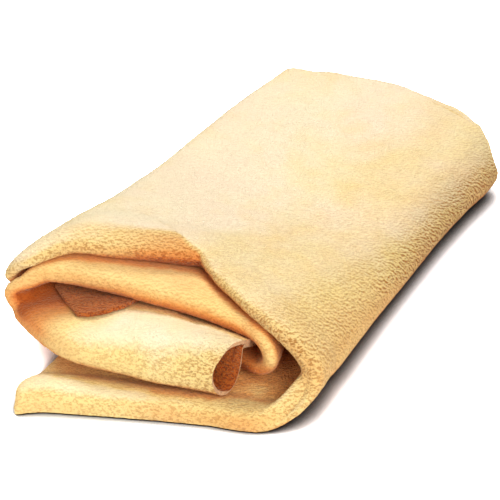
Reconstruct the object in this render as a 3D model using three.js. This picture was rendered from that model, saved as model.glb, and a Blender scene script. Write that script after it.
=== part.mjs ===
// A chamois leather, folded and lying on a table
//
// One hide of suede, about 0.75 by 0.5 metres laid flat. It is folded in half, so that every
// layer has two plies joined by a rounded front fold, and then rolled up flat into five layers:
// ground, top, under, middle and inner, joined by two folds on the right and two on the left.
// Each strip of the hide between two of these bends is a mesh of its own.
//
// Millimetres. X runs from the left folds to the right folds, Y from the front folds to the
// open back edges, Z up. The origin is on the table, in the middle of the bundle.
// A station is a place along the roll: 0 to 1 is the ground layer, 1 to 2 the right outer fold,
// and so on to 9, the cut end of the inner layer.
import * as THREE from "three";

// The hide
const skinThickness = 2;
const plyGap = 0.5; // between the two plies of a layer, behind the front fold
const layerGap = 0.7; // between one doubled layer and the next
const stripGap = 0.7; // between one strip of the hide and the next

// The folded bundle
const bundleWidth = 180;
const bundleLength = 334;

// How far the front of each layer stands above its place in the tight stack at the back
const underRise = 4.1;
const innerRise = 10.3;
const middleRise = 17.2;
const topRise = 25;

// The rounded front folds
const noseRadius = 6;
const noseTail = 30; // the length over which a front fold closes to two flat plies
const shoulder = 16; // how far back the top layer's front slopes up to its crest

// The loop at the cut end of the inner layer: half its height and half its depth
const ringRadius = 12.8;
const ringDepth = 8.1;

// The right outer fold: how far its lower and its upper half curve in from the right
const rightFoldReach = 12;
const drapeReachFront = 62;
const drapeReachBack = 24;

// The tucked corner, a loose corner of the hide in the pocket between middle and inner layer
const cornerLift = 0.5;

// Colours of the rough outer side and the smooth inner side
const outerColour = 0xf3d296;
const innerColour = 0xefbd7c;

// Stations of the strips and how finely each is drawn
const strips = [
  { name: "ground_layer", first: 0, steps: 5, colour: outerColour },
  { name: "right_outer_fold", first: 1, steps: 14, colour: outerColour },
  { name: "top_layer", first: 2, steps: 7, colour: outerColour },
  { name: "left_outer_fold", first: 3, steps: 8, colour: outerColour },
  { name: "under_layer", first: 4, steps: 3, colour: innerColour },
  { name: "right_inner_fold", first: 5, steps: 8, colour: innerColour },
  { name: "middle_layer", first: 6, steps: 5, colour: innerColour },
  { name: "left_inner_fold", first: 7, steps: 8, colour: innerColour },
  { name: "inner_layer", first: 8, steps: 6, colour: outerColour },
];
const lastStation = strips.length;

// Lengths of the strips along the roll, relative to each other
const runShares = [1.1, 0.9, 0.75, 0.55, 1.2, 0.25, 1.1, 0.25, 1.15];

// Order of the layers in the stack, from the ground up, by first station
const stackOrder = { 0: 0, 4: 1, 8: 2, 6: 3, 2: 4 };

// Where the front folds lie, as shares of the length back from the front, by station
const noseShares = [
  [0, -0.002], [0.5, 0.082], [0.8, 0.13], [1, 0.158], [1.12, 0.19], [1.22, 0.226], [1.32, 0.238],
  [1.5, 0.24], [1.7, 0.246], [1.9, 0.262], [2, 0.273], [2.12, 0.288], [2.22, 0.299], [2.3, 0.287],
  [2.5, 0.257], [2.7, 0.231], [3, 0.193], [3.3, 0.134], [3.5, 0.128], [3.75, 0.168], [4, 0.204],
  [4.5, 0.225], [5, 0.228], [5.5, 0.228], [6, 0.234], [6.5, 0.207], [7, 0.156], [7.3, 0.126],
  [7.5, 0.114], [7.75, 0.114], [8, 0.104], [8.35, 0.085], [8.7, 0.116], [9, 0.161],
];

// Where the back edge of the upper ply and of the lower ply ends, as shares of the length
const upperEndShares = [
  [0, 0.874], [0.5, 0.904], [1, 0.878], [1.5, 0.9], [1.75, 0.945], [2, 0.981], [2.2, 1.018],
  [2.5, 1.037], [2.8, 1.015], [3, 0.985], [3.3, 0.964], [4, 0.976], [5, 0.934], [5.5, 0.904],
  [6, 0.958], [7, 0.988], [7.5, 0.964], [8, 0.94], [9, 0.976],
];
const lowerEndShares = [
  [0, 0.856], [1, 0.87], [1.5, 0.888], [2, 0.965], [2.5, 1.012], [3, 0.974], [4, 0.95], [5, 0.925],
  [6, 0.93], [7, 0.965], [8, 0.93], [9, 0.95],
];

// Size of the front folds, as shares of noseRadius, and of their tails, of noseTail
const noseRoundShares = [
  [0, 0.92], [0.15, 1], [0.4, 0.83], [0.65, 0.7], [0.95, 0.62], [1.05, 0.75], [1.16, 0.85],
  [1.28, 0.78], [1.4, 0.68], [1.5, 0.68], [2, 0.6], [2.15, 0.68], [2.35, 1], [2.6, 1.03],
  [3, 0.85], [3.5, 0.34], [4, 0.42], [5, 0.36], [5.5, 0.53], [6, 0.64], [6.5, 0.84], [7, 0.85],
  [7.5, 0.34], [8, 0.75], [8.3, 1.25],
];
const tailShares = [
  [0, 0.65], [1, 0.55], [2, 0.73], [2.3, 1.13], [3, 1], [4, 0.53], [5, 0.53], [6, 0.95], [7, 0.95],
  [8, 0.87], [8.3, 1.5], [8.6, 2.2], [9, 1.2],
];

// How far the fold at the inner layer's front has opened into the loop, and the top layer's
// front has sloped back to its shoulder, by station
const ringShares = [[8.2, 0], [8.5, 0.35], [8.8, 0.85], [9, 1]];
const shoulderShares = [[2.1, 0], [2.35, 1], [2.8, 1], [3, 0.85], [3.3, 0.3], [3.5, 0]];
// How far the loop leans back, as a share of its height
const ringLeanShare = 0.25;

// How much of its rise a layer has, from station to station
const topRiseShares = [[2, 0.87], [2.2, 0.88], [2.5, 0.98], [2.8, 1], [3, 1.07]];
const middleRiseShares = [[6, 0.78], [6.35, 0.95], [6.7, 1], [7, 1.1]];
const innerRiseShares = [[8, 0.6], [8.4, 0.64]];

// Between these shares of the length, the raised front settles into the tight stack
const settleShares = [0.192, 0.581];
const ringSettleShares = [0.16, 0.25];
const ringStationShares = [8.1, 8.7];
const ringLiftShares = [0.2, 0.27];

// How far each fold reaches, as shares of half the width, by share of the length
const rightOuterShares = [
  [0.162, 0.91], [0.235, 0.918], [0.3, 0.933], [0.365, 0.918], [0.44, 0.902], [0.526, 0.893],
  [0.66, 0.885], [0.78, 0.9], [0.85, 0.922], [0.94, 0.905],
];
const leftOuterShares = [
  [0.132, -0.789], [0.192, -0.811], [0.347, -0.833], [0.491, -0.911], [0.653, -0.956],
  [0.826, -0.978], [0.922, -0.967],
];
const rightInnerShares = [[0.222, 0.69], [0.3, 0.63], [0.44, 0.62], [0.65, 0.73]];
const leftInnerShares = [
  [0.1, -0.765], [0.122, -0.745], [0.138, -0.7], [0.18, -0.7], [0.347, -0.765], [0.44, -0.82],
  [0.6, -0.86],
];
const groundEndShares = [
  [0, -0.325], [0.027, -0.383], [0.072, -0.389], [0.491, -0.511], [0.85, -0.589],
];
const innerEndShares = [[0.145, 0.5], [0.205, 0.58], [0.25, 0.55], [0.32, 0.53], [0.461, 0.53]];

// Depth of each fold's two halves, as shares of half its height
const roundShares = { 3: [1.4, 0.8], 5: [1.05, 1.15], 7: [1.1, 1.1] };
// Height of the right outer fold's outermost line, as shares of its height, front and back
const rightTipShares = [0.33, 0.5];
const rightTipSettleShares = [0.371, 0.85];
const drapeSettleShares = [0.28, 0.65];

// The tucked corner's front edge: shares of half the width and of the length
const cornerShares = [
  [-0.62, 0.177], [-0.55, 0.167], [-0.47, 0.155], [-0.38, 0.143], [-0.29, 0.132], [-0.23, 0.139],
  [-0.174, 0.155], [-0.13, 0.183],
];
const cornerBackShare = 0.32;
const cornerRows = 6;

// How finely the hide is drawn across its plies: steps round a front fold, in its tail, behind
const roundSteps = 4;
const tailSteps = 3;
const backSteps = 7;
const backCrowding = 1.6; // above 1, the rows behind lie closer together towards the front
// Steps round a fold's section when its length is measured
const sectionSteps = 32;

const layerPitch = 2 * skinThickness + plyGap + layerGap;
const halfSkin = skinThickness / 2;
const restHalfGap = (skinThickness + plyGap) / 2; // from a layer's middle to the middle of a ply
const halfWidth = bundleWidth / 2;

function smoothStep(value, [from, to]) {
  const t = THREE.MathUtils.clamp((value - from) / (to - from), 0, 1);
  return t * t * (3 - 2 * t);
}

// A smooth curve through a table of pairs, level beyond its ends
function curveAt(table, value) {
  const last = table.length - 1;
  if (value <= table[0][0]) return table[0][1];
  if (value >= table[last][0]) return table[last][1];
  const i = table.findIndex((pair) => pair[0] > value) - 1;
  const secant = (j) => (table[j + 1][1] - table[j][1]) / (table[j + 1][0] - table[j][0]);
  const slope = (j) => {
    if (j === 0) return secant(0);
    if (j === last) return secant(last - 1);
    const before = secant(j - 1);
    const after = secant(j);
    return before * after <= 0 ? 0 : (2 * before * after) / (before + after);
  };
  const run = table[i + 1][0] - table[i][0];
  const t = (value - table[i][0]) / run;
  const t2 = t * t;
  const t3 = t2 * t;
  return (
    (2 * t3 - 3 * t2 + 1) * table[i][1] +
    (t3 - 2 * t2 + t) * run * slope(i) +
    (3 * t2 - 2 * t3) * table[i + 1][1] +
    (t3 - t2) * run * slope(i + 1)
  );
}

// How far along the roll a station is
function runAt(station) {
  const strip = Math.min(Math.floor(station), lastStation - 1);
  const before = runShares.slice(0, strip).reduce((sum, share) => sum + share, 0);
  return before + (station - strip) * runShares[strip];
}

// A table by station becomes a curve along the roll, which stays smooth from strip to strip
function alongRoll(table) {
  const byRun = table.map(([station, value]) => [runAt(station), value]);
  return (station) => curveAt(byRun, runAt(station));
}

const noseShareAt = alongRoll(noseShares);
const upperEndAt = alongRoll(upperEndShares);
const lowerEndAt = alongRoll(lowerEndShares);
const noseRoundAt = alongRoll(noseRoundShares);
const ringShareAt = alongRoll(ringShares);
const shoulderShareAt = alongRoll(shoulderShares);
const tailShareAt = alongRoll(tailShares);
const topRiseAt = alongRoll(topRiseShares);
const middleRiseAt = alongRoll(middleRiseShares);
const innerRiseAt = alongRoll(innerRiseShares);

const lengthAt = (share) => (share - 0.5) * bundleLength;
const shareAt = (y) => y / bundleLength + 0.5;

// Height of a layer's middle at a place. The ground layer's lower ply lies flat on the table.
function layerHeight(layer, station, y, halfGap) {
  if (layer === 0) return halfGap + halfSkin;
  const tight = skinThickness + plyGap / 2 + stackOrder[layer] * layerPitch;
  const share = shareAt(y);
  const settled = smoothStep(share, settleShares);
  if (layer === 4) return tight + underRise * (1 - settled);
  if (layer === 2) return tight + topRise * topRiseAt(station) * (1 - settled);
  if (layer === 6) return tight + middleRise * middleRiseAt(station) * (1 - settled);
  const ring = smoothStep(station, ringStationShares) * (1 - smoothStep(share, ringSettleShares));
  return tight + innerRise * THREE.MathUtils.lerp(innerRiseAt(station), 1, ring) * (1 - settled);
}

// A fold's outermost line, the two halves of its section and which way it faces
function foldAt(fold, station, y, halfGap) {
  const share = shareAt(y);
  const from = layerHeight(fold - 1, station, y, halfGap);
  const to = layerHeight(fold + 1, station, y, halfGap);
  if (fold === 1) {
    const tip = THREE.MathUtils.lerp(...rightTipShares, smoothStep(share, rightTipSettleShares));
    const settled = smoothStep(share, drapeSettleShares);
    const drape = THREE.MathUtils.lerp(drapeReachFront, drapeReachBack, settled);
    return {
      side: 1,
      edge: curveAt(rightOuterShares, share) * halfWidth,
      middle: THREE.MathUtils.lerp(from, to, tip),
      depths: [rightFoldReach, drape],
      from,
      to,
    };
  }
  const edges = { 3: leftOuterShares, 5: rightInnerShares, 7: leftInnerShares }[fold];
  const halfHeight = Math.abs(to - from) / 2;
  return {
    side: fold === 5 ? 1 : -1,
    edge: curveAt(edges, share) * halfWidth,
    middle: (from + to) / 2,
    depths: roundShares[fold].map((ratio) => ratio * halfHeight),
    from,
    to,
  };
}

// Depth and height of the half of a fold that an angle lies in
function foldHalf(fold, angle) {
  const isFirst = angle < Math.PI / 2;
  const height = isFirst ? fold.middle - fold.from : fold.to - fold.middle;
  return [fold.depths[isFirst ? 0 : 1], height];
}

// The angle that lies a share of the way along a half-oval section
function angleAlong(section, share) {
  const angles = [];
  for (let i = 0; i <= sectionSteps; i++) angles.push((Math.PI * i) / sectionSteps);
  const places = angles.map(section);
  const lengths = [0];
  for (let i = 1; i <= sectionSteps; i++) {
    const [x, z] = places[i];
    const step = Math.hypot(x - places[i - 1][0], z - places[i - 1][1]);
    lengths.push(lengths[i - 1] + step);
  }
  const wanted = share * lengths[sectionSteps];
  const i = Math.max(1, lengths.findIndex((length) => length >= wanted));
  const t = (wanted - lengths[i - 1]) / (lengths[i] - lengths[i - 1]);
  return THREE.MathUtils.lerp(angles[i - 1], angles[i], t);
}

// The middle of a doubled layer at a station and a place along Y: X, Z and its direction
function rollAt(station, y, halfGap) {
  const strip = Math.min(Math.floor(station), lastStation - 1);
  const t = station - strip;
  if (strip % 2 === 0) {
    const share = shareAt(y);
    let start = curveAt(groundEndShares, share) * halfWidth;
    let end = curveAt(innerEndShares, share) * halfWidth;
    if (strip > 0) {
      const fold = foldAt(strip - 1, station, y, halfGap);
      start = fold.edge - fold.side * fold.depths[1];
    }
    if (strip < lastStation - 1) {
      const fold = foldAt(strip + 1, station, y, halfGap);
      end = fold.edge - fold.side * fold.depths[0];
    }
    const x = THREE.MathUtils.lerp(start, end, t);
    return { x, z: layerHeight(strip, station, y, halfGap), dx: Math.sign(end - start), dz: 0 };
  }
  const fold = foldAt(strip, station, y, halfGap);
  const section = (angle) => {
    const [depth, height] = foldHalf(fold, angle);
    const x = fold.edge - fold.side * depth * (1 - Math.sin(angle));
    return [x, fold.middle - height * Math.cos(angle)];
  };
  const angle = angleAlong(section, t);
  const [x, z] = section(angle);
  const [depth, height] = foldHalf(fold, angle);
  const dx = fold.side * depth * Math.cos(angle);
  const dz = height * Math.sin(angle);
  const length = Math.hypot(dx, dz);
  return { x, z, dx: dx / length, dz: dz / length };
}

const noseLine = (station) => lengthAt(noseShareAt(station));

function noseRound(station) {
  const plain = noseRadius * noseRoundAt(station);
  return THREE.MathUtils.lerp(plain, ringRadius, ringShareAt(station));
}

function tailLength(station) {
  return THREE.MathUtils.lerp(noseTail * tailShareAt(station), ringDepth, ringShareAt(station));
}

// How far the widest place of a front fold lies behind its foremost line, on either ply
function frontReach(station, side) {
  const radius = noseRound(station);
  const reach = THREE.MathUtils.lerp(radius, ringDepth, ringShareAt(station));
  return side > 0 ? reach + (shoulder - radius) * shoulderShareAt(station) : reach;
}

// The length of a front fold's rounded part on either ply, a quarter of an oval
function quarterLength(station, side) {
  return (Math.PI / 2) * Math.sqrt((frontReach(station, side) ** 2 + noseRound(station) ** 2) / 2);
}

// Half the space between the two plies of a layer, a distance behind the widest place of its
// front fold
function halfGapBehind(station, distance) {
  const left = Math.max(0, 1 - (distance / tailLength(station)) ** 2);
  return restHalfGap + (noseRound(station) - restHalfGap) * left ** (1.5 - ringShareAt(station));
}

// The loop's lower ply closes up to its upper one, which stays level
function ringLift(station, y, halfGap) {
  const level = 1 - smoothStep(shareAt(y), ringLiftShares);
  return ringShareAt(station) * (noseRound(station) - halfGap) * level;
}

// A point of the hide's middle surface. The distance is measured from the front fold along the
// hide, positive on the ply that lies outside the roll.
function hideAt(station, distance) {
  const radius = noseRound(station);
  const reach = frontReach(station, distance);
  const quarter = quarterLength(station, distance);
  const along = Math.abs(distance);
  const isRound = along < quarter;
  const turn = (Math.PI / 2) * Math.min(along / quarter, 1);
  const halfGap = isRound ? radius * Math.sin(turn) : halfGapBehind(station, along - quarter);
  const behind = isRound ? reach * (1 - Math.cos(turn)) : reach + along - quarter;
  const y = noseLine(station) + behind;
  const roll = rollAt(station, y, halfGap);
  const out = Math.sign(distance) * halfGap;
  const lift = isRound ? 0 : ringLift(station, y, halfGap);
  const lean = ringLeanShare * ringShareAt(station) * out * (isRound ? 1 : halfGap / radius);
  return new THREE.Vector3(roll.x + out * roll.dz, y - lean, roll.z + lift - out * roll.dx);
}

// Distances from the front fold at which a station is drawn, to the back edge of one ply
function rowsAt(station, side) {
  const quarter = quarterLength(station, side);
  const widest = noseLine(station) + frontReach(station, side) - quarter;
  const end = lengthAt(side > 0 ? lowerEndAt(station) : upperEndAt(station)) - widest;
  const rows = [];
  for (let i = 1; i <= roundSteps; i++) rows.push((quarter * i) / roundSteps);
  for (let i = 1; i <= tailSteps; i++) rows.push(quarter + (tailLength(station) * i) / tailSteps);
  const tailEnd = rows[rows.length - 1];
  const backEnd = lengthAt((upperEndAt(station) + lowerEndAt(station)) / 2) - widest;
  for (let i = 1; i < backSteps; i++) {
    rows.push(THREE.MathUtils.lerp(tailEnd, backEnd, (i / backSteps) ** backCrowding));
  }
  rows.push(end);
  return rows.map((row) => side * row);
}

// The skin's thickness is laid off on both sides of the middle surface, square to it
function skinPoint(station, distance, side, low, high) {
  const step = 1e-3;
  const before = hideAt(Math.max(station - step, low), distance);
  const along = hideAt(Math.min(station + step, high), distance).sub(before);
  const across = hideAt(station, distance + halfSkin * step);
  across.sub(hideAt(station, distance - halfSkin * step));
  const normal = new THREE.Vector3().crossVectors(along, across).normalize();
  const point = hideAt(station, distance).addScaledVector(normal, side * halfSkin);
  point.z = Math.max(point.z, 0);
  return point;
}

// A closed solid from a grid of points on its front and the matching grid on its back
function sheetGeometry(front, back) {
  const columns = front.length;
  const rows = front[0].length;
  const points = [...front.flat(), ...back.flat()];
  const frontAt = (i, j) => i * rows + j;
  const backAt = (i, j) => columns * rows + i * rows + j;
  const triangles = [];
  const quad = (a, b, c, d) => triangles.push(a, b, c, a, c, d);
  for (let i = 0; i < columns - 1; i++) {
    for (let j = 0; j < rows - 1; j++) {
      quad(frontAt(i, j), frontAt(i + 1, j), frontAt(i + 1, j + 1), frontAt(i, j + 1));
      quad(backAt(i, j), backAt(i, j + 1), backAt(i + 1, j + 1), backAt(i + 1, j));
    }
    quad(backAt(i, 0), backAt(i + 1, 0), frontAt(i + 1, 0), frontAt(i, 0));
    quad(frontAt(i, rows - 1), frontAt(i + 1, rows - 1), backAt(i + 1, rows - 1), backAt(i, rows - 1));
  }
  for (let j = 0; j < rows - 1; j++) {
    quad(frontAt(0, j), frontAt(0, j + 1), backAt(0, j + 1), backAt(0, j));
    const end = columns - 1;
    quad(backAt(end, j), backAt(end, j + 1), frontAt(end, j + 1), frontAt(end, j));
  }
  const geometry = new THREE.BufferGeometry().setFromPoints(points);
  geometry.setIndex(triangles);
  geometry.computeVertexNormals();
  return geometry;
}

// One strip of the hide, from its back edge round the front fold to its other back edge
function stripGeometry(first, steps) {
  const low = first + 1e-6;
  const high = first + 1 - 1e-6;
  const middleRow = noseTail * 2;
  const speed = (a, b) => hideAt(a, middleRow).distanceTo(hideAt(b, middleRow)) / (b - a);
  const probe = 1e-2;
  const start = first + (first > 0 ? stripGap / 2 / speed(low, low + probe) : 0);
  const isLast = first === lastStation - 1;
  const end = first + 1 - (isLast ? 0 : stripGap / 2 / speed(high - probe, high));
  const front = [];
  const back = [];
  for (let i = 0; i <= steps; i++) {
    const station = THREE.MathUtils.lerp(start, end, i / steps);
    const distances = [...rowsAt(station, -1).reverse(), 0, ...rowsAt(station, 1)];
    front.push(distances.map((distance) => skinPoint(station, distance, 1, low, high)));
    back.push(distances.map((distance) => skinPoint(station, distance, -1, low, high)));
  }
  return sheetGeometry(front, back);
}

// Top of the inner layer's upper ply at a place
function innerTop(x, y) {
  const share = shareAt(y);
  const fold = foldAt(7, 8, y, restHalfGap);
  const start = fold.edge - fold.side * fold.depths[1];
  const end = curveAt(innerEndShares, share) * halfWidth;
  const station = 8 + THREE.MathUtils.clamp((x - start) / (end - start), 0, 1);
  const behind = Math.max(0, y - noseLine(station) - frontReach(station, -1));
  const halfGap = halfGapBehind(station, behind);
  const lift = ringLift(station, y, halfGap);
  return layerHeight(8, station, y, restHalfGap) + halfGap + lift + halfSkin;
}

// The tucked corner lies on the inner layer
function cornerGeometry() {
  const front = [];
  const back = [];
  for (const [across, along] of cornerShares) {
    const x = across * halfWidth;
    const top = [];
    const bottom = [];
    for (let j = 0; j <= cornerRows; j++) {
      const share = THREE.MathUtils.lerp(along, cornerBackShare, j / cornerRows);
      const y = lengthAt(share);
      const z = innerTop(x, y) + layerGap + cornerLift;
      top.push(new THREE.Vector3(x, y, z + skinThickness));
      bottom.push(new THREE.Vector3(x, y, z));
    }
    front.push(top);
    back.push(bottom);
  }
  return sheetGeometry(front, back);
}

const bundle = new THREE.Group();

function addPiece(name, geometry, color) {
  const material = new THREE.MeshStandardMaterial({ color, roughness: 0.95, metalness: 0 });
  const mesh = new THREE.Mesh(geometry, material);
  mesh.name = name;
  bundle.add(mesh);
}

for (const { name, first, steps, colour } of strips) {
  addPiece(name, stripGeometry(first, steps), colour);
}
addPiece("tucked_corner", cornerGeometry(), innerColour);

// The origin goes to the middle of the bundle, on the table
const centre = new THREE.Box3().setFromObject(bundle).getCenter(new THREE.Vector3());
bundle.position.set(-centre.x, -centre.y, 0);

export default bundle;
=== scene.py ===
# A chamois leather: one suede hide, folded in half, rolled up flat and lying on a pale table
import math

import bmesh
import bpy
import numpy as np
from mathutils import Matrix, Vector
from mathutils.bvhtree import BVHTree


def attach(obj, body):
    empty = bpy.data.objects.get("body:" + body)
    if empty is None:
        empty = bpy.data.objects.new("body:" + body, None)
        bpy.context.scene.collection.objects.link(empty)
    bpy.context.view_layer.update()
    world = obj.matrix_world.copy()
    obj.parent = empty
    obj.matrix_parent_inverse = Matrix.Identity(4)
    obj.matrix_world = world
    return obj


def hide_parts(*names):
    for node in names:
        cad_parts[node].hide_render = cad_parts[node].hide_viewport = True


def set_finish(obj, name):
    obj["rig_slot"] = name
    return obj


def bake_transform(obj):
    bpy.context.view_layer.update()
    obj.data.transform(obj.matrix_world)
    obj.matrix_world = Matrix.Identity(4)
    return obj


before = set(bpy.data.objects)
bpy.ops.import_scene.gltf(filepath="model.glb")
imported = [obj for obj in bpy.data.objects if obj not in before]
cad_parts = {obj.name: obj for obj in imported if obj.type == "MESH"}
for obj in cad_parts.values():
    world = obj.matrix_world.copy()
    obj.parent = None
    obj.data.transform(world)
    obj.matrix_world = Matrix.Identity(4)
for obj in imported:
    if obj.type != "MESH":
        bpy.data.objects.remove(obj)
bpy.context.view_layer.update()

mm = 0.001

# The hide, in millimetres, with the roll's own tables: a station is a place along the roll,
# 0 to 1 the ground layer, 1 to 2 the right outer fold, and so on to 9, the inner layer's cut end
hide = {
    "skin": 2.0,
    "plyGap": 0.5,
    "layerGap": 0.7,
    "width": 180.0,
    "length": 334.0,
    "runUnit": 127.0,  # the length of hide to one unit of the run shares
    "middle": (0.713, -5.163),  # from the tables' own middle to the part's origin
    "underRise": 4.1,  # how much higher each layer lies at its front than packed flat
    "innerRise": 10.3,
    "middleRise": 17.2,
    "topRise": 25.0,
    "noseRadius": 6.0,
    "noseTail": 30.0,  # behind its front fold a layer's two plies close over this length
    "tailPower": 1.5,
    "shoulder": 16.0,  # how far back the top layer's front slopes up to its crest
    "creaseStation": 2.2,  # that slope starts at a slanting crease
    "creaseStart": 2.0,
    "creaseSlant": 1.4,
    "creaseEase": 2.5,
    "ringRadius": 12.8,  # the loop at the inner layer's cut end
    "ringDepth": 8.1,
    "ringLean": 0.25,
    "endRound": 7.0,  # the ground layer's left end closes over this length
    "endGap": 0.05,
    "rightFoldReach": 12.0,
    "drapeReach": (62.0, 24.0),
    "edgeWave": 1.1,  # how far the cut edges stray from a true line
}
stackOrder = {0: 0, 4: 1, 8: 2, 6: 3, 2: 4}  # each layer's place in the stack
runShares = [1.1, 0.9, 0.75, 0.55, 1.2, 0.25, 1.1, 0.25, 1.15]
# pairs of a station and a share of the length: where the front fold and the plies' ends lie
noseShares = [
    [0, -0.002], [0.5, 0.082], [0.8, 0.13], [1, 0.158], [1.12, 0.19], [1.22, 0.226],
    [1.32, 0.238], [1.5, 0.24], [1.7, 0.246], [1.9, 0.262], [2, 0.273], [2.12, 0.288],
    [2.22, 0.299], [2.3, 0.287], [2.5, 0.257], [2.7, 0.231], [3, 0.193], [3.3, 0.134],
    [3.5, 0.128], [3.75, 0.168], [4, 0.204], [4.5, 0.225], [5, 0.228], [5.5, 0.228], [6, 0.234],
    [6.5, 0.207], [7, 0.156], [7.3, 0.126], [7.5, 0.114], [7.75, 0.114], [8, 0.104],
    [8.35, 0.085], [8.7, 0.116], [9, 0.161],
]
upperEndShares = [
    [0, 0.874], [0.5, 0.904], [1, 0.878], [1.5, 0.9], [1.75, 0.945], [2, 0.981],
    [2.2, 1.018], [2.5, 1.037], [2.8, 1.015], [3, 0.985], [3.3, 0.964], [4, 0.976],
    [5, 0.934], [5.5, 0.904], [6, 0.958], [7, 0.988], [7.5, 0.964], [8, 0.94], [9, 0.976],
]
lowerEndShares = [
    [0, 0.856], [1, 0.87], [1.5, 0.888], [2, 0.965], [2.5, 1.012], [3, 0.974], [4, 0.95],
    [5, 0.925], [6, 0.93], [7, 0.965], [8, 0.93], [9, 0.95],
]
# pairs of a station and a share of the size of that name
noseRoundShares = [
    [0, 0.92], [0.15, 1], [0.4, 0.83], [0.65, 0.7], [0.95, 0.62], [1.05, 0.75], [1.16, 0.85],
    [1.28, 0.78], [1.4, 0.68], [1.5, 0.68], [2, 0.6], [2.15, 0.68],
    [2.35, 1], [2.6, 1.03], [3, 0.85], [3.5, 0.34], [4, 0.42], [5, 0.36], [5.5, 0.53],
    [6, 0.64], [6.5, 0.84], [7, 0.85], [7.5, 0.34], [8, 0.75], [8.3, 1.25],
]
ringShares = [[8.2, 0], [8.5, 0.35], [8.8, 0.85], [9, 1]]
shoulderShares = [[2, 1], [2.8, 1], [3, 0.85], [3.3, 0.3], [3.5, 0]]
tailShares = [
    [0, 0.65], [1, 0.55], [2, 0.73], [2.3, 1.13], [3, 1], [4, 0.53], [5, 0.53], [6, 0.95],
    [7, 0.95], [8, 0.87], [8.3, 1.5], [8.6, 2.2], [9, 1.2],
]
topRiseShares = [[2, 0.87], [2.2, 0.88], [2.5, 0.98], [2.8, 1], [3, 1.07]]
middleRiseShares = [[6, 0.78], [6.35, 0.95], [6.7, 1], [7, 1.1]]
innerRiseShares = [[8, 0.6], [8.4, 0.64]]
# the shares of the length between which each form gives way to the layers packed flat behind it
settleShares = (0.192, 0.581)
ringSettleShares = (0.16, 0.25)
ringLiftShares = (0.2, 0.27)
rightTipSettleShares = (0.371, 0.85)
drapeSettleShares = (0.28, 0.65)
ringStationShares = (8.1, 8.7)  # stations, over which the loop rises
# pairs of a share of the length and a share of half the width: the folds' and the ends' outlines
rightOuterShares = [
    [0.162, 0.91], [0.235, 0.918], [0.3, 0.933], [0.365, 0.918], [0.44, 0.902],
    [0.526, 0.893], [0.66, 0.885], [0.78, 0.9], [0.85, 0.922], [0.94, 0.905],
]
leftOuterShares = [
    [0.132, -0.789], [0.192, -0.811], [0.347, -0.833], [0.491, -0.911], [0.653, -0.956],
    [0.826, -0.978], [0.922, -0.967],
]
rightInnerShares = [[0.222, 0.69], [0.3, 0.63], [0.44, 0.62], [0.65, 0.73]]
leftInnerShares = [
    [0.1, -0.765], [0.122, -0.745], [0.138, -0.7], [0.18, -0.7], [0.347, -0.765], [0.44, -0.82],
    [0.6, -0.86],
]
groundEndShares = [
    [0, -0.325], [0.027, -0.383], [0.072, -0.389], [0.491, -0.511], [0.85, -0.589],
]
innerEndShares = [[0.145, 0.5], [0.205, 0.58], [0.25, 0.55], [0.32, 0.53], [0.461, 0.53]]
roundShares = {3: (1.4, 0.8), 5: (1.05, 1.15), 7: (1.1, 1.1)}  # each fold's depths to its height
rightTipShares = (0.33, 0.5)  # how high up the right outer fold reaches out farthest
# the tucked corner's front edge: a share of half the width and a share of the length
cornerShares = [
    [-0.62, 0.177], [-0.55, 0.167], [-0.47, 0.155], [-0.38, 0.143], [-0.29, 0.132],
    [-0.23, 0.139], [-0.174, 0.155], [-0.13, 0.183],
]
lastStation = 9
layerPitch = 2 * hide["skin"] + hide["plyGap"] + hide["layerGap"]
halfSkin = hide["skin"] / 2
restHalfGap = (hide["skin"] + hide["plyGap"]) / 2
halfWidth = hide["width"] / 2


def smoothStep(value, start, end):
    t = np.clip((value - start) / (end - start), 0, 1)
    return t * t * (3 - 2 * t)


def curveAt(table, value):  # a smooth curve through a table of pairs, level beyond its ends
    x, y = np.array(table, float).T
    value = np.clip(value, x[0], x[-1])
    secant = np.diff(y) / np.diff(x)
    slope = np.empty_like(y)
    slope[0], slope[-1] = secant[0], secant[-1]
    before, after = secant[:-1], secant[1:]
    turns = before * after <= 0
    total = np.where(turns, 1, before + after)
    slope[1:-1] = np.where(turns, 0, 2 * before * after / total)
    i = np.clip(np.searchsorted(x, value, side="right") - 1, 0, len(x) - 2)
    run = x[i + 1] - x[i]
    t = (value - x[i]) / run
    t2, t3 = t * t, t * t * t
    return (
        (2 * t3 - 3 * t2 + 1) * y[i]
        + (t3 - 2 * t2 + t) * run * slope[i]
        + (3 * t2 - 2 * t3) * y[i + 1]
        + (t3 - t2) * run * slope[i + 1]
    )


def runAt(station):
    strip = np.minimum(np.floor(station).astype(int), lastStation - 1)
    before = np.concatenate([[0], np.cumsum(runShares)])[strip]
    return before + (station - strip) * np.array(runShares)[strip]


def alongRoll(table, station):  # a table's curve, drawn over the true length of the roll
    stations = np.array([pair[0] for pair in table], float)
    byRun = np.stack([runAt(stations), [pair[1] for pair in table]], 1)
    return curveAt(byRun, runAt(np.asarray(station, float)))


def lengthAt(share):
    return (share - 0.5) * hide["length"]


def shareAt(y):
    return y / hide["length"] + 0.5


def layerHeight(layer, station, y, halfGap):  # the height of a doubled layer's middle
    if layer == 0:
        return halfGap + halfSkin + 0 * y
    tight = hide["skin"] + hide["plyGap"] / 2 + stackOrder[layer] * layerPitch
    share = shareAt(y)
    if layer == 4:
        rise = hide["underRise"]
    elif layer == 2:
        rise = hide["topRise"] * alongRoll(topRiseShares, station)
    elif layer == 6:
        rise = hide["middleRise"] * alongRoll(middleRiseShares, station)
    else:
        ring = smoothStep(station, *ringStationShares) * (1 - smoothStep(share, *ringSettleShares))
        plain = alongRoll(innerRiseShares, station)
        rise = hide["innerRise"] * (plain + (1 - plain) * ring)
    return tight + rise * (1 - smoothStep(share, *settleShares))


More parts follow.
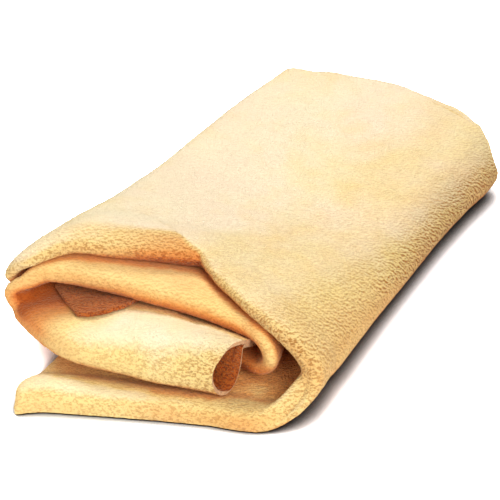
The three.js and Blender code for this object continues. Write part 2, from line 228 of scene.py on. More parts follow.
def foldAt(fold, station, y, halfGap):  # a fold's half-oval section, between the layers it joins
    share = shareAt(y)
    low = layerHeight(fold - 1, station, y, halfGap)
    high = layerHeight(fold + 1, station, y, halfGap)
    if fold == 1:
        tip = smoothStep(share, *rightTipSettleShares)
        tip = rightTipShares[0] + (rightTipShares[1] - rightTipShares[0]) * tip
        drape = smoothStep(share, *drapeSettleShares)
        drape = hide["drapeReach"][0] + (hide["drapeReach"][1] - hide["drapeReach"][0]) * drape
        return {
            "side": 1,
            "edge": curveAt(rightOuterShares, share) * halfWidth,
            "middle": low + (high - low) * tip,
            "depths": (hide["rightFoldReach"] + 0 * y, drape),
            "low": low,
            "high": high,
        }
    edges = {3: leftOuterShares, 5: rightInnerShares, 7: leftInnerShares}[fold]
    halfHeight = np.abs(high - low) / 2
    return {
        "side": 1 if fold == 5 else -1,
        "edge": curveAt(edges, share) * halfWidth,
        "middle": (low + high) / 2,
        "depths": tuple(ratio * halfHeight for ratio in roundShares[fold]),
        "low": low,
        "high": high,
    }


def sectionOf(fold, angle):  # the place on a fold's section, and the sizes of its half
    first = angle < math.pi / 2
    depth = np.where(first, fold["depths"][0], fold["depths"][1])
    height = np.where(first, fold["middle"] - fold["low"], fold["high"] - fold["middle"])
    x = fold["edge"] - fold["side"] * depth * (1 - np.sin(angle))
    return x, fold["middle"] - height * np.cos(angle), depth, height


def angleAlong(fold, share):  # the angle that lies a share of the way along the section
    steps = 32
    angles = np.linspace(0, math.pi, steps + 1)[:, None] + 0 * share
    x, z, _, _ = sectionOf(fold, angles)
    pieces = np.hypot(np.diff(x, axis=0), np.diff(z, axis=0))
    along = np.concatenate([0 * pieces[:1], np.cumsum(pieces, 0)])
    wanted = share * along[-1]
    i = np.clip((along < wanted).sum(0), 1, steps)
    j = np.arange(share.size)
    before, after = along[i - 1, j], along[i, j]
    return (i - 1 + (wanted - before) / (after - before)) * math.pi / steps


def rollAt(strip, station, y, halfGap):  # a layer's middle: X and Z, and the way along the roll
    t = station - strip
    if strip % 2 == 0:
        share = shareAt(y)
        start = curveAt(groundEndShares, share) * halfWidth
        end = curveAt(innerEndShares, share) * halfWidth
        if strip > 0:
            fold = foldAt(strip - 1, station, y, halfGap)
            start = fold["edge"] - fold["side"] * fold["depths"][1]
        if strip < lastStation - 1:
            fold = foldAt(strip + 1, station, y, halfGap)
            end = fold["edge"] - fold["side"] * fold["depths"][0]
        x = start + (end - start) * t
        return x, layerHeight(strip, station, y, halfGap), np.sign(end - start), 0 * x
    fold = foldAt(strip, station, y, halfGap)
    angle = angleAlong(fold, t)
    x, z, depth, height = sectionOf(fold, angle)
    dx, dz = fold["side"] * depth * np.cos(angle), height * np.sin(angle)
    length = np.hypot(dx, dz)
    return x, z, dx / length, dz / length


def noseRound(station):  # half the space between the plies where a front fold is widest
    plain = hide["noseRadius"] * alongRoll(noseRoundShares, station)
    return plain + (hide["ringRadius"] - plain) * alongRoll(ringShares, station)


def tailLength(station):
    return hide["noseTail"] * alongRoll(tailShares, station)


def halfGapBehind(station, distance):  # from there the plies close up towards the back
    ring = alongRoll(ringShares, station)
    tail = tailLength(station) * (1 - ring) + hide["ringDepth"] * ring
    left = np.maximum(0, 1 - (distance / tail) ** 2)
    return restHalfGap + (noseRound(station) - restHalfGap) * left ** (hide["tailPower"] - ring)


def quarterArc(radius, reach):  # the length of a quarter of an oval, near enough
    return math.pi / 2 * np.sqrt((reach**2 + radius**2) / 2)


def foldedAt(station, distance, reach):  # Y and half the space between the plies at the front
    radius = noseRound(station)
    quarter = quarterArc(radius, reach)
    along = np.abs(distance)
    turn = np.minimum(along / quarter, 1) * math.pi / 2
    y = lengthAt(alongRoll(noseShares, station))
    y = y + np.where(along < quarter, reach * (1 - np.cos(turn)), reach + along - quarter)
    behind = halfGapBehind(station, np.maximum(0, along - quarter))
    return y, np.where(along < quarter, radius * np.sin(turn), behind)


def frontReach(station):  # how far a front fold's widest place lies behind its foremost line
    ring = alongRoll(ringShares, station)
    return noseRound(station) * (1 - ring) + hide["ringDepth"] * ring


def ringLift(station, y, halfGap):  # the loop's lower ply closes up to its upper one
    level = 1 - smoothStep(shareAt(y), *ringLiftShares)
    return alongRoll(ringShares, station) * (noseRound(station) - halfGap) * level


def pastCrease(station, distance):  # how far a place lies beyond the top layer's slanting crease
    past = (runAt(station) - runAt(np.array(hide["creaseStation"]))) * hide["runUnit"]
    return past - hide["creaseSlant"] * np.maximum(0, distance - hide["creaseStart"])


def hideAt(strip, station, distance):  # the hide's middle surface, in millimetres
    radius = noseRound(station)
    ring = alongRoll(ringShares, station)
    y, halfGap = foldedAt(station, distance, frontReach(station))
    if strip in (1, 2, 3):  # the top layer's sloping front ends in a slanting crease
        slope = radius + (hide["shoulder"] - radius) * alongRoll(shoulderShares, station)
        slopedY, slopedGap = foldedAt(station, distance, slope)
        ease = hide["creaseEase"]
        sloped = smoothStep(pastCrease(station, distance), -ease, ease) * (distance > 0)
        y = y + (slopedY - y) * sloped
        halfGap = halfGap + (slopedGap - halfGap) * sloped
    if strip == 0:
        least = halfSkin + hide["endGap"]
        left = 1 - station * runShares[0] * hide["runUnit"] / hide["endRound"]
        closed = least + (halfGap - least) * np.sqrt(1 - np.clip(left, 0, 1) ** 2)
        halfGap = np.where(halfGap > least, closed, halfGap)
    x, z, dx, dz = rollAt(strip, station, y, halfGap)
    out = np.sign(distance) * halfGap
    if strip == lastStation - 1:  # the loop
        isBehind = np.abs(distance) > quarterArc(radius, frontReach(station))
        z = z + ringLift(station, y, halfGap) * isBehind
        y = y - hide["ringLean"] * ring * out * np.where(isBehind, halfGap / radius, 1)
    return np.stack([x + out * dz, y, z - out * dx], 1)


def endAt(station, side):  # the distance from the front fold to a ply's back edge
    radius, reach = noseRound(station), frontReach(station)
    share = alongRoll(lowerEndShares if side > 0 else upperEndShares, station)
    nose = lengthAt(alongRoll(noseShares, station))
    return lengthAt(share) - nose - reach + quarterArc(radius, reach)


def softNoise(points, size, seed):  # smooth noise from -1 to 1, its lumps about size apart
    cells = 64
    lattice = np.random.default_rng(seed).random((cells, cells, cells)) * 2 - 1
    place = np.asarray(points) / size
    cell = np.floor(place).astype(int)
    t = place - cell
    t = t * t * t * (t * (t * 6 - 15) + 10)
    total = np.zeros(place.shape[:-1])
    for corner in np.ndindex(2, 2, 2):
        share = np.prod(np.where(corner, t, 1 - t), axis=-1)
        total += share * lattice[tuple(np.moveaxis((cell + corner) % cells, -1, 0))]
    return total


def layeredNoise(points, layers):
    return sum(share * softNoise(points, size, seed) for size, share, seed in layers)


def stripRun(strip):  # a strip's mean length along the roll, from lines at eight distances
    station = np.linspace(strip, strip + 1, 60)
    lengths = []
    for distance in (-200, -150, -100, -50, 50, 100, 150, 200):
        line = hideAt(strip, station, np.full_like(station, distance))[:, [0, 2]]
        lengths.append(np.linalg.norm(np.diff(line, axis=0), axis=1).sum())
    return sum(lengths) / len(lengths)


runs = [stripRun(strip) for strip in range(lastStation)]
print("hide", round(sum(runs)), "mm along the roll")

# Each strip of the hide: its CAD node and how finely it is cut along the roll, in millimetres
strips = {
    "hideGround": {"node": "ground_layer", "slot": "smooth_suede", "cell": 1.2},
    "hideRightFold": {"node": "right_outer_fold", "slot": "rough_suede", "cell": 1.1},
    "hideTop": {"node": "top_layer", "slot": "rough_suede", "cell": 1.1},
    "hideLeftFold": {"node": "left_outer_fold", "slot": "rough_suede", "cell": 1.1},
    "hideUnder": {"node": "under_layer", "slot": "smooth_suede", "cell": 2.4},
    "hideRightInner": {"node": "right_inner_fold", "slot": "smooth_suede", "cell": 1.1},
    "hideMiddle": {"node": "middle_layer", "slot": "smooth_suede", "cell": 1.2},
    "hideLeftInner": {"node": "left_inner_fold", "slot": "smooth_suede", "cell": 1.1},
    "hideInner": {"node": "inner_layer", "slot": "smooth_suede", "cell": 1.2},
}
# How the strips are cut across the roll, and the sheet's fine relief, in millimetres
sheet = {
    "upperFine": 0.3,  # the share of the upper ply, next to its front fold, with finer rows
    "upperRows": (76, 46),
    "lowerRows": 236,
    "fewestColumns": 6,
    "nap": 0.27,  # how high the nap's lumps are
    "napLumps": ((1.7, 0.6, 11), (3.1, 0.4, 12)),  # each with its size, its share and its seed
    "edgeLumps": ((14, 1, 3), (4, 0.35, 4)),
    "edgeApart": 40.0,  # each side of zero, so that the two plies' edges differ
    "edgeFade": 8,
    "endLumps": ((9, 1, 5),),  # the roll's cut end strays too
    "endShare": 0.6,
    "endFade": 12,
    "sharpAngle": 50,
}


def rowShares():  # each row's place as a share of its ply, below zero on the ground's upper ply
    fine, (near, far) = sheet["upperFine"], sheet["upperRows"]
    upper = np.concatenate([np.linspace(0, fine, near + 1), np.linspace(fine, 1, far + 1)[1:]])
    lower = np.linspace(0, 1, sheet["lowerRows"] + 1)
    return np.concatenate([-upper[:0:-1], lower])


def stripGrid(strip, columns):  # a strip's middle surface: its places, stations and distances
    station = strip + np.linspace(0, 1, columns + 1)
    station, row = [grid.ravel() for grid in np.meshgrid(station, rowShares())]
    side = np.where(row > 0, 1, -1)
    end = np.where(row > 0, endAt(station, 1), endAt(station, -1))
    run = sum(runs[:strip]) + (station - strip) * runs[strip]
    edge = np.stack([run, side * sheet["edgeApart"], 0 * run], -1)
    wave = hide["edgeWave"] * layeredNoise(edge, sheet["edgeLumps"])
    distance = row * (end + wave * np.abs(row) ** sheet["edgeFade"])
    if strip == lastStation - 1:
        cutEnd = np.stack([distance, 0 * distance, 0 * distance], -1)
        stray = (station - strip) ** sheet["endFade"] * sheet["endShare"] * hide["edgeWave"]
        stray = stray * (1 + layeredNoise(cutEnd, sheet["endLumps"]))
        station = station - stray / runs[strip]
    points = hideAt(strip, station, distance)
    points[:, :2] += hide["middle"]
    shape = (-1, columns + 1)
    return points.reshape(*shape, 3), station.reshape(shape), distance.reshape(shape)


def squareTo(points):  # the unit directions square to a grid of points
    across = np.gradient(points, axis=0)
    along = np.gradient(points, axis=1)
    square = np.cross(along, across)
    return square / np.linalg.norm(square, axis=2)[:, :, None]


def bothSkins(points):  # the skin's two faces, with the nap's lumps laid off square
    square = squareTo(points)
    faces = []
    for way in (1, -1):
        face = points + way * square * halfSkin
        lumps = layeredNoise(face, sheet["napLumps"])
        face = face + way * square * sheet["nap"] * lumps[:, :, None]
        face[:, :, 2] = np.maximum(face[:, :, 2], 0)
        faces.append(face)
    return faces


# Painted shade: the nap is painted darker and more orange where the folds hide it from the light;
# rays from it that meet the hide or the table within reach count as hidden
occlusionShade = {
    "tint": 0.75,
    "hidden": (0.25, 0.72),
    "reach": 34.0,
    "rays": 14,
    "step": 4,  # the rays leave from every fourth place
    "clear": 0.6,  # and start this far before it
    "floor": 400,  # half the width of the table that they meet
    "aside": (0.3, 0.9, 0.2),  # any way that isn't square to the hide
}


def coarse(count):  # every few places of a long row, with its last one
    return np.unique(np.append(np.arange(0, count, occlusionShade["step"]), count - 1))


def occlusionShares(faces, squares):  # how much of what it faces the nap has close before it, 0 to 1
    rows, columns = coarse(faces[0].shape[0]), coarse(faces[0].shape[1])
    pick = np.ix_(rows, columns)
    size = len(rows) * len(columns)
    index = np.arange(size).reshape(len(rows), len(columns))
    quads = np.stack([index[:-1, :-1], index[:-1, 1:], index[1:, 1:], index[1:, :-1]], -1)
    quads = quads.reshape(-1, 4).tolist()
    points = [face[pick].reshape(-1, 3) for face in faces]
    far = occlusionShade["floor"]
    floor = [(-far, -far, 0), (far, -far, 0), (far, far, 0), (-far, far, 0)]
    tree = BVHTree.FromPolygons(
        points[0].tolist() + points[1].tolist() + floor,
        quads + [[i + size for i in quad] for quad in quads] + [[2 * size + i for i in range(4)]],
    )
    ray = np.arange(occlusionShade["rays"]) + 0.5
    flat = np.sqrt(ray / occlusionShade["rays"])
    turn = ray * math.pi * (3 - math.sqrt(5))
    local = np.stack([flat * np.cos(turn), flat * np.sin(turn), np.sqrt(1 - flat**2)], 1)
    hidden = []
    for point, square in zip(points, squares):
        square = square[pick].reshape(-1, 3)
        aside = np.cross(square, occlusionShade["aside"])
        aside = aside / np.linalg.norm(aside, axis=1)[:, None]
        basis = np.stack([aside, np.cross(square, aside), square], 1)
        ways = np.einsum("rk,nkc->nrc", local, basis).tolist()
        starts = (point + occlusionShade["clear"] * square).tolist()
        met = [
            sum(tree.ray_cast(start, way, occlusionShade["reach"])[0] is not None for way in fan)
            for start, fan in zip(starts, ways)
        ]
        met = np.array(met, float).reshape(len(rows), len(columns)) / occlusionShade["rays"]
        met = np.stack([np.interp(np.arange(faces[0].shape[1]), columns, line) for line in met])
        met = np.stack([np.interp(np.arange(faces[0].shape[0]), rows, line) for line in met.T], 1)
        hidden.append(met)
    return hidden


# The nap's colour and depth; distances run from the front fold, in millimetres, positive on the
# ply that faces out of the roll and negative on the one that faces in
tone = {
    "sideShade": 0.32,  # painted light and shade: how much darker and more orange the nap is painted where it doesn't face upwards, the top left pale as if lit
    "facing": (0.35, 0.97),
    "bandShade": 0.9,  # painted shade: the top layer's forward- and downward-facing front is painted darker up to its crease
    "bandCrease": (-1.5, 1.5),
    "bandLast": 3.5,  # a station
    "bandFoot": (-16, -6),
    "bandCrest": (13, 22),
    "pocketFrom": (1, 5),
    "insideShade": 1.0,  # painted shade: the skin's side between the two plies is painted browner
    "insideFrom": (8, 30),  # from the plies' back edges
    "loop": 0.8,  # and by this share more in the loop, from station to station
    "loopFrom": (8.6, 8.9),
    "backNap": 0.9,  # the nap is deeper on the back of the right outer fold
    "backFrom": (40, 170),
    "backUntil": (1.6, 2.1),  # stations
}
# how orange and smooth the nap is, against pale and rough, along the roll: partly the hide's own
# tone, partly painted shade on layers that lie in the roll's shadow
tintShares = [
    [0, 0.25], [0.45, 0.15], [0.7, 0.4], [0.95, 0.55], [1.1, 0.3], [1.35, 0.38], [1.55, 0.3],
    [1.75, 0.18], [2, 0.2], [2.12, 0.2], [2.35, 0.08], [2.8, 0], [3.4, 0.08], [4.1, 0.85],
    [5, 0.9], [5.2, 0.6], [5.5, 0.3], [6, 0.6], [6.6, 0.6], [7.3, 0.5], [8.02, 1.0], [8.12, 0.85],
    [8.3, 0.35], [8.5, 0.1], [8.8, 0.02], [9, 0.15],
]
bandShares = [[2.1, 1], [2.4, 0.95], [2.7, 0.5], [3, 0.25], [3.3, 0]]
# painted shade: how much darker and browner the side is painted that faces the pocket over the
# inner layer
pocketShadeShares = [[6.7, 0], [7.1, 0.5], [7.3, 1.2], [7.9, 1.2], [8.1, 0.65], [8.3, 0.2], [8.5, 0]]
# the nap is shallow on the skin's smooth side
napShares = [
    [0, 0.35], [0.6, 0.45], [1, 0.45], [1.2, 0.55], [1.4, 0.75], [1.6, 0.7], [1.8, 0.6],
    [2.3, 0.6], [3.5, 0.6], [4, 0.35], [8.3, 0.3], [9, 0.7],
]


def tintsAt(station, distance, squares, hidden):  # 0 pale and rough, 1 orange, 2 deep brown
    # painted shade on the top layer's front, up to its slanting crease
    inBand = smoothStep(pastCrease(station, distance), *tone["bandCrease"])
    inBand = inBand * (station < tone["bandLast"]) * smoothStep(distance, *tone["bandFoot"])
    inBand = inBand * (1 - smoothStep(distance, *tone["bandCrest"]))
    tint = alongRoll(tintShares, station)
    tint = tint + tone["bandShade"] * alongRoll(bandShares, station) * inBand
    # painted shade where the side faces the pocket
    tint = tint + alongRoll(pocketShadeShares, station) * smoothStep(-distance, *tone["pocketFrom"])
    # painted light and shade: faces that don't look upwards are painted darker, the top pale
    upmost = np.maximum(squares[0][:, :, 2], squares[1][:, :, 2])
    tint = tint + tone["sideShade"] * (1 - smoothStep(upmost, *tone["facing"]))
    # painted shade between the plies, deeper in from the back edges and more in the loop
    toEdge = np.minimum(distance.max(0) - distance, distance - distance.min(0))
    inLoop = 1 + tone["loop"] * smoothStep(station, *tone["loopFrom"])
    insideShade = tone["insideShade"] * smoothStep(toEdge, *tone["insideFrom"]) * inLoop
    # painted shade: places that the folds hide are painted darker
    return [
        side + occlusionShade["tint"] * smoothStep(share, *occlusionShade["hidden"])
        for side, share in zip((tint + insideShade, tint), hidden)
    ]


def napAt(station, distance):  # how deep the nap is
    right = 1 - smoothStep(station, *tone["backUntil"])
    deeper = tone["backNap"] * smoothStep(distance, *tone["backFrom"]) * right
    return alongRoll(napShares, station) * (1 + deeper)


def addFloats(mesh, key, values, domain="POINT"):
    values = np.asarray(values, np.float32).ravel()
    mesh.attributes.new(key, "FLOAT", domain).data.foreach_set("value", values)


def readFloats(mesh, key):
    values = np.empty(len(mesh.vertices), np.float32)
    mesh.attributes[key].data.foreach_get("value", values)
    return values.astype(float)


def sheetPiece(name, faces, values):  # a grid thickened into a skin, with values on its two faces
    rows, columns = faces[0].shape[:2]
    bm = bmesh.new()
    bmesh.ops.create_grid(bm, x_segments=columns - 1, y_segments=rows - 1, size=0.5)
    mesh = bpy.data.meshes.new(name)
    bm.to_mesh(mesh)
    bm.free()
    grid = np.empty(len(mesh.vertices) * 3, np.float32)
    mesh.vertices.foreach_get("co", grid)
    column, row, _ = (grid.reshape(-1, 3) + 0.5).T
    at = (np.round(row * (rows - 1)).astype(int), np.round(column * (columns - 1)).astype(int))
    obj = bpy.data.objects.new(name, mesh)
    bpy.context.scene.collection.objects.link(obj)
    solid = obj.modifiers.new("skin", "SOLIDIFY")
    solid.thickness = hide["skin"] * mm
    solid.offset = 0
    solidObj = obj.evaluated_get(bpy.context.evaluated_depsgraph_get())
    made = bpy.data.meshes.new_from_object(solidObj)
    obj.modifiers.remove(solid)
    obj.data = made
    bpy.data.meshes.remove(mesh)
    made.name = name
    skins = np.concatenate([face[at] for face in faces]) * mm  # the first face's points come first
    made.vertices.foreach_set("co", skins.astype(np.float32).ravel())
    for key, pair in values.items():
        addFloats(made, key, np.concatenate([value[at] for value in pair]))
    made.update()
    made.polygons.foreach_set("use_smooth", np.ones(len(made.polygons), bool))
    made.set_sharp_from_angle(angle=math.radians(sheet["sharpAngle"]))
    return obj, at


def joinShading(mesh, at, squares, broadFaces):  # the strips' seams shade as one sheet
    lastColumn = squares[0].shape[1] - 1
    count = len(at[0])
    corners = np.empty(len(mesh.loops), np.int32)
    mesh.loops.foreach_get("vertex_index", corners)
    wanted = np.zeros((len(corners), 3))
    broad = np.arange(len(corners)) < broadFaces * 4
    column = at[1][corners % count]
    seam = broad & ((column == 0) | (column == lastColumn))
    for way in (0, 1):
        here = seam & (corners // count == way)
        point = corners[here] % count
        wanted[here] = squares[way][at[0][point], at[1][point]]
    mesh.normals_split_custom_set(wanted.tolist())


columnCounts = [
    max(sheet["fewestColumns"], round(run / settings["cell"]))
    for run, settings in zip(runs, strips.values())
]
grids = [stripGrid(strip, columns) for strip, columns in enumerate(columnCounts)]
middle, station, distance = (  # neighbours share a column
    np.concatenate([part[:, min(strip, 1):] for strip, part in enumerate(parts)], 1)
    for parts in zip(*grids)
)
faces = bothSkins(middle)
squares = [squareTo(faces[0]), -squareTo(faces[1])]
hidden = occlusionShares(faces, squares)
print("occlusionShade", [round(float(part.mean()), 2) for part in hidden])
nap = napAt(station, distance)
sheetValues = {
    "station": (station, station),
    "nap": (nap, nap),
    "tint": tintsAt(station, distance, squares, hidden),
}
pieces = {}
first = 0
for columns, (name, settings) in zip(columnCounts, strips.items()):
    own = (slice(None), slice(first, first + columns + 1))
    first += columns
    values = {key: [part[own] for part in pair] for key, pair in sheetValues.items()}
    obj, at = sheetPiece(name, [face[own] for face in faces], values)
    broadFaces = 2 * (station.shape[0] - 1) * columns
    isCut = np.arange(len(obj.data.polygons)) >= broadFaces
    addFloats(obj.data, "cut", isCut, "FACE")
    joinShading(obj.data, at, [square[own] for square in squares], broadFaces)
    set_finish(obj, settings["slot"])
    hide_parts(settings["node"])
    pieces[name] = obj
print("strips", sum(len(obj.data.polygons) for obj in pieces.values()), "faces")

# The tucked corner lies on the inner layer, in the pocket; it is painted deep brown as painted
# shade, its rim as brown as its face
corner = {
    "back": 0.32,  # where it ends in the pocket, as a share of the length
    "lift": 0.5,
    "points": 57,  # along each side
    # painted shade, as deep as the pocket's
    "tint": 1.9,
    "nap": 0.7,
}


def innerTop(x, y):  # how high the inner layer reaches
    share = shareAt(y)
    fold = foldAt(7, np.full_like(y, 8.0), y, restHalfGap)
    start = fold["edge"] - fold["side"] * fold["depths"][1]
    end = curveAt(innerEndShares, share) * halfWidth
    station = 8 + np.clip((x - start) / (end - start), 0, 1)
    behind = np.maximum(0, y - lengthAt(alongRoll(noseShares, station)) - frontReach(station))
    halfGap = halfGapBehind(station, behind)
    lift = ringLift(station, y, halfGap)
    return layerHeight(8, station, y, restHalfGap) + halfGap + lift + halfSkin


def addCorner():
    way = np.linspace(0, 1, corner["points"])
    left, right = cornerShares[0][0], cornerShares[-1][0]
    across, way = np.meshgrid(left + (right - left) * way, way)
    front = curveAt(cornerShares, across)
    x, y = across * halfWidth, lengthAt(front + (corner["back"] - front) * way)
    z = innerTop(x.ravel(), y.ravel()).reshape(x.shape)
    z = z + hide["layerGap"] + corner["lift"] + halfSkin
    points = np.stack([x + hide["middle"][0], y + hide["middle"][1], z], 2)
    values = {key: [np.full(x.shape, corner[key])] * 2 for key in ("nap", "tint")}
    obj, _ = sheetPiece("hideCorner", bothSkins(points), values)
    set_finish(obj, "smooth_suede")
    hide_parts("tucked_corner")
    return obj


tucked = pieces["hideCorner"] = addCorner()
print("tucked corner", len(tucked.data.polygons), "faces")


# Materials
def toLinear(hexColour):
    parts = [int(hexColour[i : i + 2], 16) / 255 for i in (1, 3, 5)]
    return [c / 12.92 if c <= 0.04045 else ((c + 0.055) / 1.055) ** 2.4 for c in parts] + [1]


def addNode(tree, kind, settings, inputs):  # an input is given its constant or its link
    node = tree.nodes.new("ShaderNode" + kind)
    for key, value in settings.items():
        setattr(node, key, value)
    for key, value in inputs.items():
        if isinstance(value, bpy.types.NodeSocket):
            tree.links.new(value, node.inputs[key])
        else:
            node.inputs[key].default_value = value
    return node


# Sizes in millimetres. The real tufts are about 0.3 mm across, too fine to show, so the nap is
# drawn coarser, in lumps of 1.4 and tufts of 0.8
suede = {
    "patch": 60,
    "cloud": 14,
    "drift": 45,
    "lump": 1.4,
    "tuft": 0.8,
    "patchDepth": 0.24,  # how much of the ramp of tones each of these moves
    "cloudDepth": 0.14,
    "tintDepth": 0.5,
    "tones": (
        (0, "#fef3d8"), (0.2, "#fbe29e"), (0.35, "#f5d08a"), (0.55, "#eda962"), (0.8, "#dc8544"),
        (1, "#b05a22"),
    ),
    "driftTones": ("#fdf3ee", "#fbf8ee"),
    "driftContrast": 3.0,
    "brushAngle": 34,
    "brushStretch": 1.35,
    "lean": (0.0, 0.6, 0.2),  # how far the nap's tips lie from its roots
    "tuftShare": 0.5,  # how much the tufts count for beside the lumps
    "shade": "#b0783a",  # painted shade: the colour that a tuft's shaded flank is painted towards
    "shadeRange": (-0.05, 0.12),
    "furrowTints": (0.05, 0.45),  # from the palest nap to the browner, the painted shade grows
    "furrowShares": (0.2, 1.0),
    "bump": 2.2,
    "fibreTones": ("#c0835a", "#eec193"),
    "roughness": {"rough": 0.95, "smooth": 0.88},
    "sheenTint": "#ffe9c4",
    "shader": {"Specular IOR Level": 0.05, "Sheen Weight": 0.3, "Sheen Roughness": 0.5},
}


def chamoisSuede(side):  # oil-tanned sheepskin, buffed to a soft, matt nap that scatters the light
    material = bpy.data.materials.new("chamois suede, " + side + " side")
    material.use_nodes = True
    tree = material.node_tree
    tree.nodes.clear()
    place = addNode(tree, "TexCoord", {}, {}).outputs["Object"]
    tint, nap, isCut = [
        addNode(tree, "Attribute", {"attribute_name": key}, {}).outputs["Fac"]
        for key in ("tint", "nap", "cut")
    ]
    # the nap is brushed one way, which draws its tufts out, and it leans that way too
    brushed = addNode(
        tree, "Mapping", {"vector_type": "TEXTURE"},
        {
            "Vector": place,
            "Rotation": (0, 0, math.radians(suede["brushAngle"])),
            "Scale": (suede["brushStretch"], 1.0, 1.0),
        },
    ).outputs[0]
    leant = addNode(
        tree, "VectorMath", {"operation": "ADD"},
        {0: brushed, 1: [offset * mm for offset in suede["lean"]]},
    ).outputs[0]
    patch, cloud, drift, lump, tuft, leantLump, leantTuft = [
        addNode(
            tree, "TexNoise", {},
            {"Vector": where, "Scale": 1 / (suede[key] * mm), "Detail": detail},
        ).outputs[0]
        for key, where, detail in (
            ("patch", place, 3.0), ("cloud", place, 3.0), ("drift", place, 2.0),
            ("lump", brushed, 2.0), ("tuft", brushed, 2.0),
            ("lump", leant, 2.0), ("tuft", leant, 2.0),
        )
    ]
    # the colour deepens along the ramp with the tint, from the pale nap to the brown of the inner
    # side; the tint carries the hide's own tone and painted light and shade
    depth = -(suede["patchDepth"] + suede["cloudDepth"]) / 2
    for key, source in (("patchDepth", patch), ("cloudDepth", cloud), ("tintDepth", tint)):
        depth = addNode(
            tree, "Math", {"operation": "MULTIPLY_ADD"}, {0: source, 1: suede[key], 2: depth},
        ).outputs[0]
    ramp = addNode(tree, "ValToRGB", {}, {"Fac": depth})
    while len(ramp.color_ramp.elements) < len(suede["tones"]):
        ramp.color_ramp.elements.new(0.5)
    for element, (position, colour) in zip(ramp.color_ramp.elements, suede["tones"]):
        element.position = position
        element.color = toLinear(colour)
    # wide patches lean to pink or to yellow
    contrast = suede["driftContrast"]
    drift = addNode(
        tree, "Math", {"operation": "MULTIPLY_ADD"},
        {0: drift, 1: contrast, 2: (1 - contrast) / 2},
    )
    drift = addNode(
        tree, "Mix", {"data_type": "RGBA"},
        {
            0: drift.outputs[0],
            6: toLinear(suede["driftTones"][0]),
            7: toLinear(suede["driftTones"][1]),
        },
    )
    ground = addNode(
        tree, "Mix", {"data_type": "RGBA", "blend_type": "MULTIPLY"},
        {0: 1.0, 6: ramp.outputs[0], 7: drift.outputs[2]},
    )
    # painted light and shade: each leaning tuft is painted lit on one flank and shaded on the
    # other
    tufts = addNode(tree, "Math", {"operation": "SUBTRACT"}, {0: tuft, 1: leantTuft})
    lumps = addNode(tree, "Math", {"operation": "SUBTRACT"}, {0: lump, 1: leantLump})
    flank = addNode(
        tree, "Math", {"operation": "MULTIPLY_ADD"},
        {0: tufts.outputs[0], 1: suede["tuftShare"], 2: lumps.outputs[0]},
    )
    shaded = addNode(
        tree, "MapRange", {},
        {
            "Value": flank.outputs[0],
            "From Min": suede["shadeRange"][0],
            "From Max": suede["shadeRange"][1],
        },
    )
    # the painted shade in the furrows stands out where the nap's tint is dark, and fades where the
    # nap is painted pale as if lit
    furrow = addNode(
        tree, "MapRange", {},
        {
            "Value": tint,
            "From Min": suede["furrowTints"][0],
            "From Max": suede["furrowTints"][1],
            "To Min": suede["furrowShares"][0],
            "To Max": suede["furrowShares"][1],
        },
    )
    deep = addNode(tree, "Math", {"operation": "MULTIPLY"}, {0: furrow.outputs[0], 1: nap})
    shade = addNode(
        tree, "Math", {"operation": "MULTIPLY"}, {0: shaded.outputs[0], 1: deep.outputs[0]},
    )
    colour = addNode(
        tree, "Mix", {"data_type": "RGBA", "blend_type": "MULTIPLY"},
        {0: shade.outputs[0], 6: ground.outputs[2], 7: toLinear(suede["shade"])},
    )
    height = addNode(tree, "Math", {"operation": "ADD"}, {0: tuft, 1: lump})
    height = addNode(tree, "Math", {"operation": "MULTIPLY"}, {0: height.outputs[0], 1: nap})
    bump = addNode(
        tree, "Bump", {"invert": True},
        {"Height": height.outputs[0], "Strength": 1.0, "Distance": suede["bump"] * mm},
    )
    # the cut edge shows the skin's own pale fibres
    fibres = addNode(
        tree, "Mix", {"data_type": "RGBA"},
        {0: lump, 6: toLinear(suede["fibreTones"][0]), 7: toLinear(suede["fibreTones"][1])},
    )
    finish = addNode(
        tree, "Mix", {"data_type": "RGBA"}, {0: isCut, 6: colour.outputs[2], 7: fibres.outputs[2]},
    )
    shader = addNode(
        tree, "BsdfPrincipled", {},
        {
            "Base Color": finish.outputs[2],
            "Normal": bump.outputs[0],
            "Roughness": suede["roughness"][side],
            "Sheen Tint": toLinear(suede["sheenTint"]),
            **suede["shader"],
        },
    )
    addNode(tree, "OutputMaterial", {}, {"Surface": shader.outputs[0]})
    return material


suedes = {side + "_suede": chamoisSuede(side) for side in ("rough", "smooth")}
for obj in pieces.values():
    obj.data.materials.clear()
    obj.data.materials.append(suedes[obj["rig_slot"]])
print("materials", [material.name for material in suedes.values()])

# What each strip rides on: the ground layer on the ground, the rest on the bundle; the right outer
# fold, between them, is baked in place and rides on neither
for name, obj in pieces.items():
    if name == "hideGround":
        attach(obj, "ground")
    elif name == "hideRightFold":
        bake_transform(obj)
        weight = smoothStep(readFloats(obj.data, "station"), 1.0, 2.0)
    else:
        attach(obj, "bundle")
order = list(strips)
for strip, name in enumerate(order):
    halfway = np.array([strip + 0.5])
    across = float((endAt(halfway, 1) + endAt(halfway, -1))[0])
print("sheets", len(pieces))

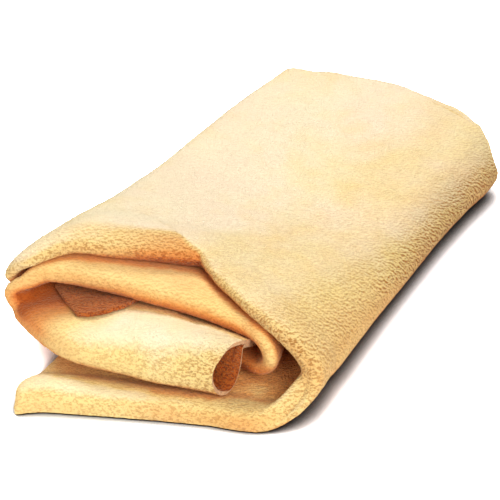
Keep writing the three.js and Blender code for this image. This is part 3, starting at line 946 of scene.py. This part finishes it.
# Table, light and camera, in metres
table = {
    "size": 0.9,  # half its width
    "colour": "#f2f0ec",
    "seen": (5.1, 5.2, 5.35),  # its colour in the rays that the camera sees, which shows white
    "shade": 0.014,  # how far the painted shadow along the hide's lowest edges reaches
    "shadePower": 3.6,
    "shadeSamples": 12,
}
lamps = {
    "window": {"place": (-0.75, 0.6, 1.0), "size": 0.6, "watts": 14},
    "overhead": {"place": (0.15, 0, 1.5), "size": 1.2, "watts": 6.5},
    "front": {"place": (0.0, -1.2, 0.5), "size": 0.9, "watts": 6.8},
    "right": {"place": (0.95, -0.4, 0.8), "size": 0.9, "watts": 13},
}
lampTarget = Vector((0, 0, 0.02))
lampColour = "#fffdfa"
worldLight = {"seen": 1.0, "fill": 0.05}
view = {
    "target": (-7.29, -8.16, 0.0),  # millimetres, as is the distance
    "azimuth": 34,
    "elevation": 38,
    "distance": 560,
    "lens": 70.99,
    "sensor": 36,
    "clip": (0.01, 50),
}


def seenRays(tree):  # 1 for the rays that the camera sees, also in a gloss or through glass
    rays = addNode(tree, "LightPath", {}, {}).outputs
    seen = rays["Is Camera Ray"]
    for key in ("Is Glossy Ray", "Is Transmission Ray"):
        seen = addNode(tree, "Math", {"operation": "MAXIMUM"}, {0: seen, 1: rays[key]}).outputs[0]
    return seen


def addTable():
    bm = bmesh.new()
    bmesh.ops.create_grid(bm, x_segments=1, y_segments=1, size=table["size"])
    mesh = bpy.data.meshes.new("table")
    bm.to_mesh(mesh)
    bm.free()
    obj = bpy.data.objects.new("table", mesh)
    bpy.context.scene.collection.objects.link(obj)
    material = bpy.data.materials.new("matt white table")
    material.use_nodes = True
    tree = material.node_tree
    tree.nodes.clear()
    # painted shadow: close along the folds' lowest edges the table's seen colour is darkened by
    # ambient occlusion, on top of the lamps' own shadows
    near = addNode(
        tree, "AmbientOcclusion", {"samples": table["shadeSamples"]},
        {"Distance": table["shade"], "Color": (*table["seen"], 1)},
    ).outputs
    dim = addNode(tree, "Math", {"operation": "POWER"}, {0: near["AO"], 1: table["shadePower"]})
    shaded = addNode(
        tree, "Mix", {"data_type": "RGBA", "blend_type": "MULTIPLY"},
        {0: 1.0, 6: near["Color"], 7: dim.outputs[0]},
    )
    colour = addNode(
        tree, "Mix", {"data_type": "RGBA"},
        {0: seenRays(tree), 6: toLinear(table["colour"]), 7: shaded.outputs[2]},
    )
    matt = addNode(tree, "BsdfDiffuse", {}, {"Color": colour.outputs[2]})
    addNode(tree, "OutputMaterial", {}, {"Surface": matt.outputs[0]})
    mesh.materials.append(material)


def addLamp(name, place, size, watts):
    data = bpy.data.lights.new(name, "AREA")
    data.shape = "DISK"
    data.size = size
    data.energy = watts
    data.color = toLinear(lampColour)[:3]
    lamp = bpy.data.objects.new(name, data)
    lamp.location = place
    lamp.rotation_euler = (lampTarget - Vector(place)).to_track_quat("-Z", "Y").to_euler()
    bpy.context.scene.collection.objects.link(lamp)


def addWorld():
    world = bpy.data.worlds.new("studio")
    world.use_nodes = True
    tree = world.node_tree
    backdrop = tree.nodes["Background"]
    backdrop.inputs["Color"].default_value = (1, 1, 1, 1)
    more = worldLight["seen"] - worldLight["fill"]
    strength = addNode(
        tree, "Math", {"operation": "MULTIPLY_ADD"},
        {0: seenRays(tree), 1: more, 2: worldLight["fill"]},
    )
    tree.links.new(strength.outputs[0], backdrop.inputs["Strength"])
    bpy.context.scene.world = world


def addCamera():
    azimuth, elevation = math.radians(view["azimuth"]), math.radians(view["elevation"])
    away = Vector((
        math.sin(azimuth) * math.cos(elevation),
        -math.cos(azimuth) * math.cos(elevation),
        math.sin(elevation),
    ))
    data = bpy.data.cameras.new("camera")
    data.lens = view["lens"]
    data.sensor_width = view["sensor"]
    data.clip_start, data.clip_end = view["clip"]
    camera = bpy.data.objects.new("camera", data)
    camera.location = Vector(view["target"]) * mm + away * view["distance"] * mm
    camera.rotation_euler = (-away).to_track_quat("-Z", "Y").to_euler()
    bpy.context.scene.collection.objects.link(camera)
    bpy.context.scene.camera = camera


addTable()
for name, settings in lamps.items():
    addLamp(name, **settings)
addWorld()
addCamera()
bpy.context.scene.view_settings.view_transform = "Standard"
print("stage", len(lamps), "lamps")
